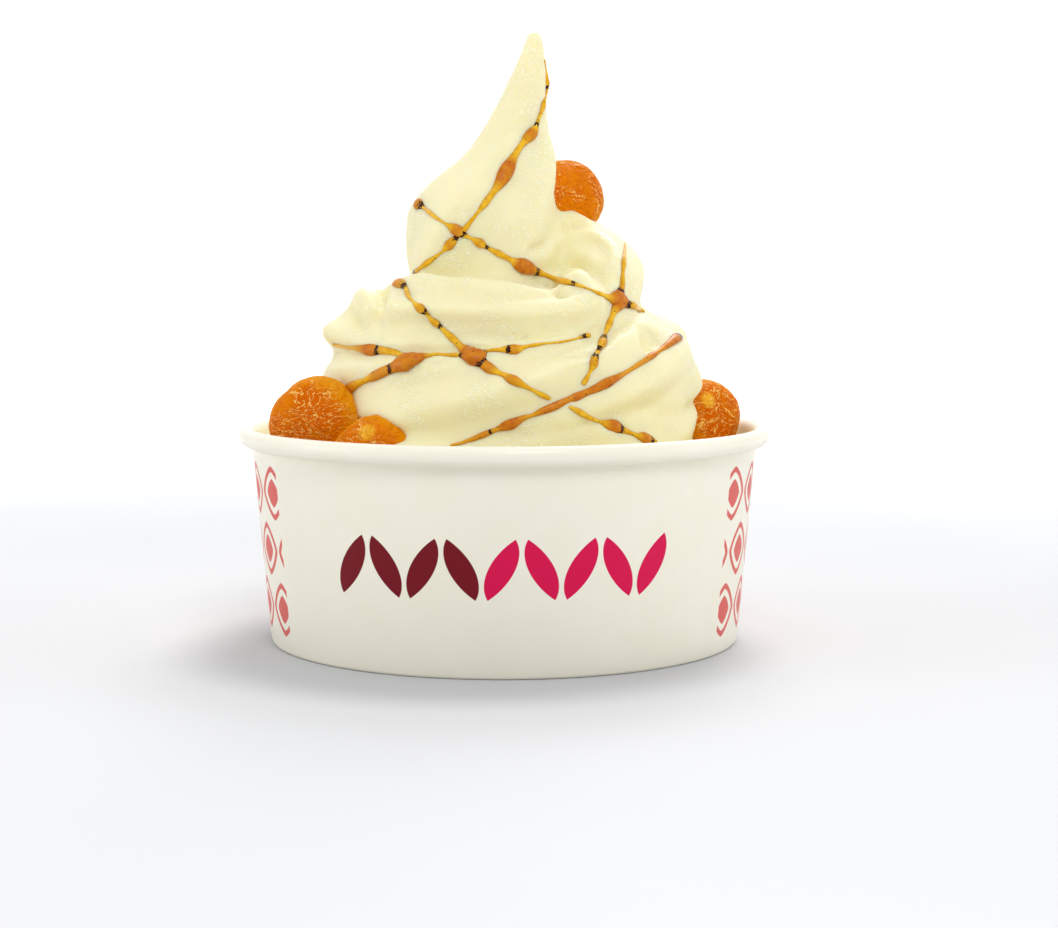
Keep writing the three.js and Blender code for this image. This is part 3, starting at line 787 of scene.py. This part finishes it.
def floor_material():
    made, tree, shader, place = new_material("white_floor")
    _, patches = add_grain(tree, place, 2.0, 200.0)
    colour = mix_colour(tree, patches, srgb(220, 221, 223), srgb(223, 224, 226))
    # A soft shadow is painted on the floor under the front of the cup.
    under = add_node(tree, "VectorMath", {0: place, 1: (-7.0, -14.0, 0.0)}, operation="DISTANCE")
    shade = ramp(tree, under.outputs["Value"], 70.0, 48.0)
    colour = mix_colour(tree, shade, colour, srgb(192, 193, 196))
    tree.links.new(colour, shader.inputs["Base Color"])
    # Far from the cup the floor brightens into the sky.
    away = add_node(tree, "VectorMath", {0: place}, operation="LENGTH").outputs["Value"]
    far = ramp(tree, away, 180.0, 800.0)
    glow = mix_colour(tree, far, (0, 0, 0, 1), (1, 1, 1, 1))
    tree.links.new(glow, shader.inputs["Emission Color"])
    set_inputs(shader, {"Emission Strength": 0.7, "Roughness": 0.9, "Specular IOR Level": 0.1})
    return made


# ---- Pieces ----
def wall_radius(height):
    slope = (WALL_TOP_RADIUS - FOOT_RADIUS) / (CUP_HEIGHT - ROLL_HEIGHT)
    return FOOT_RADIUS + slope * height


def sleeve_outline():
    """The wall cut through, from the inside of the hem round the foot and the rolled rim."""
    outline = [(wall_radius(HEM_HEIGHT) - BOARD, HEM_HEIGHT)]
    outline.append((wall_radius(HEM_HEIGHT) - BOARD - HEM_WIDTH, HEM_HEIGHT))
    fold = 0.7  # radius of the fold at the foot
    inner_foot = FOOT_RADIUS - BOARD - HEM_WIDTH + fold
    for degrees in range(180, 271, 30):
        angle = math.radians(degrees)
        outline.append((inner_foot + fold * math.cos(angle), fold + fold * math.sin(angle)))
    for degrees in range(270, 361, 30):
        angle = math.radians(degrees)
        outline.append((
            FOOT_RADIUS - fold + fold * math.cos(angle), fold + fold * math.sin(angle)
        ))
    for height in (3.0, 12.0, 22.0, 32.0, 40.0, 42.6):
        outline.append((wall_radius(height), height))
    roll_radius = RIM_RADIUS - ROLL_WIDTH / 2
    roll_middle = CUP_HEIGHT - ROLL_HEIGHT / 2
    for degrees in range(-140, 181, 16):
        angle = math.radians(degrees)
        outline.append((
            roll_radius + ROLL_WIDTH / 2 * math.cos(angle),
            roll_middle + ROLL_HEIGHT / 2 * math.sin(angle),
        ))
    for height in (42.0, 32.0, 20.0, 8.0):
        outline.append((wall_radius(height) - BOARD, height))
    return outline


def make_sleeve():
    """The wall of the cup with its rolled rim, its folded foot and its lap seam."""
    shape = spun(sleeve_outline(), CUP_STEPS, closed=True)
    for corner in shape.verts:
        raise_seam(corner)
    mesh = mesh_of("cup_wall", shape)
    for face in mesh.polygons:
        x, y, z = face.center
        outside = math.hypot(x, y) > (wall_radius(z / MM) - BOARD / 2) * MM
        face.material_index = 0 if outside else 1
    printed = board_material("printed_board", True)
    plain = board_material("plain_board", False)
    return new_object("cup_wall", mesh, printed, plain)


def raise_seam(corner):
    """Lifts the outside of the wall where its two ends lap."""
    angle = math.degrees(math.atan2(corner.co.x, -corner.co.y)) % 360
    radius = math.hypot(corner.co.x, corner.co.y)
    if radius < (wall_radius(corner.co.z / MM) - BOARD / 2) * MM:
        return
    from_seam = math.radians(angle - SEAM_ANGLE) * radius / MM
    if 0 <= from_seam <= SEAM_WIDTH:
        rise = SEAM_STEP * min(1.0, (SEAM_WIDTH - from_seam) / SEAM_WIDTH * 2.0)
        corner.co.xy *= 1 + rise * MM / radius


def make_disc():
    """The bottom of the cup, dished a little, with its edge turned down inside the hem."""
    low = HEM_HEIGHT + 0.3
    skirt = FOOT_RADIUS - BOARD - HEM_WIDTH - 0.4
    outline = [
        (0.0, low + 0.5), (20.0, low + 0.45), (40.0, low + 0.2), (skirt - 1.0, low),
        (skirt - 0.2, low - 0.3), (skirt, low - 1.2),
    ]
    shape = spun(outline, DISC_STEPS)
    bmesh.ops.solidify(shape, geom=shape.faces[:], thickness=0.4 * MM)
    plain = board_material("bottom_board", False)
    return new_object("cup_bottom", mesh_of("cup_bottom", shape), plain)


def bent_cylinder(sides, rings, place):
    """A tube whose points go where place(angle, share of length, share of radius) says."""
    shape = upright_tube(sides, rings)
    for corner in shape.verts:
        angle = math.atan2(corner.co.x, -corner.co.y)
        share = math.hypot(corner.co.x, corner.co.y)
        corner.co = place(angle, corner.co.z + 0.5, share)
    bmesh.ops.recalc_face_normals(shape, faces=shape.faces)
    return mesh_of("part", shape)


def fluted_radius(radius, depth, flutes, angle):
    """Straight-sided ridges, as a star nozzle leaves them, with one at angle 0."""
    place = flutes * angle / math.tau
    valley = 2 * abs(place - round(place))
    return radius * (1 - depth * valley)


def rope_centre(turn):
    heading = math.tau * turn
    reach = smooth_through(ROPE_STATIONS, 1, turn)
    height = smooth_through(ROPE_STATIONS, 2, turn)
    return Vector((reach * math.sin(heading), -reach * math.cos(heading), height))


def rope_point(angle, along, share):
    turn = ROPE_STATIONS[0][0] + along * (ROPE_STATIONS[-1][0] - ROPE_STATIONS[0][0])
    small = 0.005
    tangent = (rope_centre(turn + small) - rope_centre(turn - small)).normalized()
    heading = math.tau * turn
    outward = Vector((math.sin(heading), -math.cos(heading), 0))
    outward = (outward - tangent * outward.dot(tangent)).normalized()
    upward = outward.cross(tangent)
    radius = share * fluted_radius(
        smooth_through(ROPE_STATIONS, 3, turn),
        smooth_through(ROPE_STATIONS, 5, turn),
        ROPE_FLUTES,
        angle,
    )
    rolled = angle + math.radians(smooth_through(ROPE_STATIONS, 4, turn))
    offset = outward * math.cos(rolled) + upward * math.sin(rolled)
    return (rope_centre(turn) + offset * radius) * MM


def peak_point(angle, along, share):
    step = along * PEAK_STATIONS[-1][0]
    height, x, y, radius, twist = (
        smooth_through(PEAK_STATIONS, column, step) for column in range(1, 6)
    )
    radius = share * fluted_radius(radius, PEAK_FLUTE_DEPTH, PEAK_FLUTES, angle)
    twisted = angle + math.radians(twist)
    return Vector((x + radius * math.sin(twisted), y - radius * math.cos(twisted), height)) * MM


def make_fill():
    """The yogurt in the cup and the heart of the swirl."""
    floor = HEM_HEIGHT + 1.4
    edge = wall_radius(FILL_LEVEL) - BOARD - 0.15
    outline = [
        (0.0, floor), (wall_radius(floor) - BOARD - 0.3, floor), (edge, FILL_LEVEL + 0.6),
        (edge - 1.2, FILL_LEVEL), (edge - 5, FILL_LEVEL - FILL_RIPPLE),
        (edge - 11, FILL_LEVEL + 4.0), (32.0, 50.0), (27.0, 66.0), (21.0, 74.0),
        (13.5, 82.0), (8.0, 90.0), (0.0, 92.0),
    ]
    return mesh_of("part", spun(outline, FILL_STEPS))


def make_swirl():
    """All of the yogurt as one skin, melted together a little where the coils touch."""
    whole = bmesh.new()
    rope = bent_cylinder(ROPE_SIDES, ROPE_RINGS, rope_point)
    peak = bent_cylinder(PEAK_SIDES, PEAK_RINGS, peak_point)
    for part in (make_fill(), rope, peak):
        whole.from_mesh(part)
    union = new_object("union", mesh_of("union", whole))
    remesh = union.modifiers.new("union", "REMESH")
    remesh.mode = "VOXEL"
    remesh.voxel_size = VOXEL * MM
    mesh = settled(union)
    bpy.data.objects.remove(union)
    edges = edges_of(mesh)
    set_points(mesh, relaxed(points_of(mesh), edges, 3))
    sculpt(mesh, edges)
    roughen(mesh)
    shade_smooth(mesh)
    mark_creases(mesh, edges)
    return new_object("swirl", mesh, yogurt_material())


def mark_creases(mesh, edges):
    """Stores how far each point lies below the smoothed skin, from 0 to 1."""
    broad = relaxed(points_of(mesh), edges, 24)
    hollow = ((broad - points_of(mesh)) * normals_of(mesh)).sum(axis=1) / MM
    hollow = relaxed(hollow[:, None], edges, 4)[:, 0]
    store(mesh, "crease", np.clip(hollow / CREASE_SHADE_DEPTH, 0, 1))


def skin_of(mesh):
    shape = bmesh.new()
    shape.from_mesh(mesh)
    skin = BVHTree.FromBMesh(shape)
    shape.free()
    return skin


def seen_at(skin, x, z):
    """The place on the skin that the camera sees at (x, z) of the plane through the axis."""
    aim = Vector((x, 0, z)) * MM
    place = skin.ray_cast(EYE, (aim - EYE).normalized())[0]
    return skin.find_nearest(aim)[0] if place is None else place


def sculpt(mesh, edges):
    """The pushes, the melting, and then the grooves and ridges."""
    points = pushed(points_of(mesh))
    set_points(mesh, points)
    points = melted(points, edges, skin_of(mesh))
    set_points(mesh, points)
    normals = relaxed(normals_of(mesh), edges, 3)
    points = stroked(points, normals, skin_of(mesh))
    set_points(mesh, relaxed(points, edges, 1))


def pushed(points):
    for x, y, z, radius, *way in PUSHES:
        far = np.linalg.norm(points / MM - (x, y, z), axis=1) / radius
        points = points + np.exp(-(far**2))[:, None] * np.array(way) * MM
    return points


def melted(points, edges, skin):
    smooth = relaxed(points, edges, MELT_ROUNDS)
    for x, z, radius in MELTS:
        place = seen_at(skin, x, z)
        far = np.linalg.norm(points - np.array(place), axis=1) / (radius * MM)
        points = points + np.exp(-(far**2))[:, None] * (smooth - points)
    return points


def stroked(points, normals, skin):
    for width, *stations in STROKES + STROKES_OVER:
        line = stroke_line(stations, skin)
        reach = 2.6 * width * MM
        near = np.all(points > line[:, :3].min(axis=0) - reach, axis=1)
        near &= np.all(points < line[:, :3].max(axis=0) + reach, axis=1)
        near = np.nonzero(near)[0]
        far = np.linalg.norm(points[near, None] - line[None, :, :3], axis=2)
        closest = far.argmin(axis=1)
        fall = np.exp(-((far.min(axis=1) / (width * MM)) ** 2))
        points[near] += normals[near] * (line[closest, 3] * fall)[:, None]
    return points


def stroke_line(stations, skin):
    """Points of a stroke laid on the skin, each with how far it goes out, in metres."""
    table = by_length(stations)
    line = []
    for *spot, out in sampled(table, int(table[-1][0] / STROKE_SPACING) + 1):
        if len(spot) == 2:
            place = seen_at(skin, *spot)
        else:
            place = skin.find_nearest(Vector(spot) * MM)[0]
        line.append((*place, out * MM))
    return np.array(line)


def roughen(mesh):
    """Slow lumps and small pits in the skin."""
    points, normals = points_of(mesh), normals_of(mesh)
    lift = [
        0.22 * noise.noise(Vector(point) / (7 * MM)) + 0.06 * noise.noise(Vector(point) / (2 * MM))
        for point in points
    ]
    set_points(mesh, points + normals * np.array(lift)[:, None] * MM)


def make_apricot(name, material):
    breadth, thickness, centre, faces = APRICOTS[name]
    off_the_fruit = (2.0, 2.0)
    spot = BLOTCHES.get(name, off_the_fruit)
    crease_depth = 0.09
    crease_width = 0.22
    wrinkle_depth = 0.05
    wrinkles = 24
    lump_depth = 0.12
    shape = bmesh.new()
    bmesh.ops.create_icosphere(shape, subdivisions=6, radius=1.0)
    edges, blotches = [], []
    seed = Vector(centre)
    for corner in shape.verts:
        x, y, z = corner.co
        on_face = max(0.0, z)
        crease = crease_depth * on_face * math.exp(-((x / crease_width) ** 2))
        uneven = 1 + 0.03 * math.sin(2.3 * x + 1) + 0.03 * math.cos(3.1 * y)
        slow = 0.05 * noise.noise(corner.co * 1.7 + seed)
        sway = noise.noise(corner.co * 2.2 + seed * 1.3) * 5
        ridges = math.sin((y + 0.3 * x) * wrinkles + sway)
        strength = max(0.0, 0.3 + noise.noise(corner.co * 2.6 - seed))
        out = corner.co.normalized() * (wrinkle_depth * ridges * strength)
        out += corner.co.normalized() * lump_depth * noise.noise(corner.co * 5 + seed)
        edges.append(max(0.0, math.hypot(x, y) - 0.7) / 0.3)
        blotches.append(2.2 - math.hypot(x - spot[0], y - spot[1]) / 0.11)
        corner.co = Vector((
            x * breadth * (uneven + slow),
            y * breadth * 0.98 * (uneven + slow),
            z * thickness * (1 + slow) - crease * thickness,
        )) + out
    turn = Vector(faces).to_track_quat("Z", "Y").to_matrix().to_4x4()
    shape.transform(Matrix.Scale(MM, 4) @ Matrix.Translation(centre) @ turn)
    mesh = mesh_of(name + "_fruit", shape)
    store(mesh, "edge", np.clip(edges, 0, 1))
    store(mesh, "blotch", np.clip(blotches, 0, 1))
    return new_object(name + "_fruit", mesh, material)


def lay_strand(stations, azimuth, skin):
    """The strand's places and normals on the skin, its widths and how near each is to a neck."""
    turn = Matrix.Rotation(math.radians(azimuth), 3, "Z")
    eye = turn @ EYE
    laid = []
    table = by_length(stations)
    for x, z, width in sampled(table, int(table[-1][0] / STRAND_SPACING)):
        aim = turn @ Vector((x * MM, 0, z * MM))
        place, normal, _, _ = skin.ray_cast(eye, (aim - eye).normalized())
        if place is None:
            # Past the outline: beside the edge, turned half towards the viewer.
            place, normal, _, _ = skin.find_nearest(aim)
            if (place - aim).length > 2.5 * MM:
                continue
            place = place.lerp(aim, 0.6)
            normal = normal + 2 * (eye - aim).normalized()
        nearest = min(math.hypot(x - a, z - b) for a, b in NECKS)
        laid.append((place, normal, width, math.exp(-((nearest / NECK_REACH) ** 2))))
    places, normals, widths, necks = (np.array(column) for column in zip(*laid))
    chain = np.array([(i, i + 1) for i in range(len(laid) - 1)])
    return relaxed(places, chain, 3), relaxed(normals, chain, 8), widths, necks


def make_strand(name, stations, azimuth, skin, material, thin):
    """A string of drops laid on the skin, as seen from the given side.

    It is amber where it is no wider than thin, in mm, and brown where it is much wider.
    """
    places, normals, widths, necks = lay_strand(stations, azimuth, skin)
    last = len(places) - 1
    shape = upright_tube(STRAND_SIDES, last)
    thick_values, neck_values, edge_values = [], [], []
    for corner in shape.verts:
        i = round((corner.co.z + 0.5) * last)
        before, after = places[max(i - 1, 0)], places[min(i + 1, last)]
        tangent = Vector(after - before).normalized()
        up = Vector(normals[i])
        up = (up - tangent * up.dot(tangent)).normalized()
        side = tangent.cross(up)
        to_end = min(i, last - i) * STRAND_SPACING
        ending = min(1.0, to_end / max(widths[i] / 2, 0.3))
        half = (widths[i] / 2 + 0.05) * max(math.sqrt(1 - (1 - ending) ** 2), 0.05) * MM
        tall = 0.45 * half + 0.12 * MM * ending
        across, above = corner.co.x, corner.co.y
        thick_values.append(np.clip((widths[i] - thin) / 1.2, 0, 1))
        neck_values.append(necks[i])
        # How near the strand's side each point lies, for its painted shade.
        edge_values.append(abs(across) ** 3)
        corner.co = Vector(places[i]) + up * (tall * (above + 0.25)) + side * (half * across)
    bmesh.ops.recalc_face_normals(shape, faces=shape.faces)
    mesh = mesh_of(name, shape)
    store(mesh, "thick", thick_values)
    store(mesh, "neck", neck_values)
    store(mesh, "edge", edge_values)
    return new_object(name, mesh, material)


# ---- Stage ----
def make_camera():
    lens = bpy.data.cameras.new("camera")
    lens.lens = LENS
    lens.sensor_width = SENSOR
    camera = bpy.data.objects.new("camera", lens)
    camera.location = EYE
    camera.rotation_euler = (math.radians(90 - PITCH_DOWN), 0, 0)
    bpy.context.scene.collection.objects.link(camera)
    bpy.context.scene.camera = camera


def make_light(name, place, size, power):
    """A square soft light at place, in metres, that looks at the cup."""
    data = bpy.data.lights.new(name, "AREA")
    data.size = size
    data.energy = power
    lamp = bpy.data.objects.new(name, data)
    lamp.location = place
    lamp.rotation_euler = (Vector(LIGHT_AIM) - Vector(place)).to_track_quat("-Z", "Y").to_euler()
    bpy.context.scene.collection.objects.link(lamp)


def make_stage():
    shape = bmesh.new()
    bmesh.ops.create_grid(shape, x_segments=8, y_segments=8, size=4.0)
    floor = new_object("floor", mesh_of("floor", shape), floor_material())
    world = bpy.data.worlds.new("studio")
    bpy.context.scene.world = world
    world.use_nodes = True
    tree = world.node_tree
    way = add_node(tree, "TexCoord").outputs["Generated"]
    _, back, up = add_node(tree, "SeparateXYZ", {"Vector": way}).outputs
    glow = math_node(tree, "MULTIPLY_ADD", back, SKY_BACK, SKY_GLOW)
    above = math_node(tree, "MAXIMUM", up, 0.0)
    glow = math_node(tree, "MULTIPLY_ADD", above, SKY_ABOVE, glow)
    backdrop = ramp(tree, back, 0.8, 0.93)
    glow = math_node(tree, "MULTIPLY_ADD", backdrop, SKY_BACKDROP, glow)
    sky = tree.nodes["Background"]
    sky.inputs["Color"].default_value = (1, 1, 1, 1)
    tree.links.new(glow, sky.inputs["Strength"])
    for name, (place, size, power) in LIGHTS.items():
        make_light(name, place, size, power)
    bpy.context.scene.view_settings.view_transform = "Standard"


# ---- The whole ----
make_camera()
make_stage()

wall = make_sleeve()
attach(wall, "root")
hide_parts("cup_sleeve")

bottom = make_disc()
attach(bottom, "root")
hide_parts("cup_disc")

swirl = make_swirl()
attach(swirl, "root")
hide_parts("yogurt")

flesh = apricot_material()
for name in APRICOTS:
    fruit = make_apricot(name, flesh)
    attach(fruit, "root")
    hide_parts(name)

skin = BVHTree.FromObject(swirl, bpy.context.evaluated_depsgraph_get())
syrup = syrup_material()
for name, azimuth in [(name, 0.0) for name in STRANDS] + FAR_STRANDS:
    label = "syrup_%s_%d" % (name, azimuth)
    thin = BROWN_FROM.get(name, USUAL_BROWN_FROM)
    strand = make_strand(label, STRANDS[name], azimuth, skin, syrup, thin)
    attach(strand, "root")
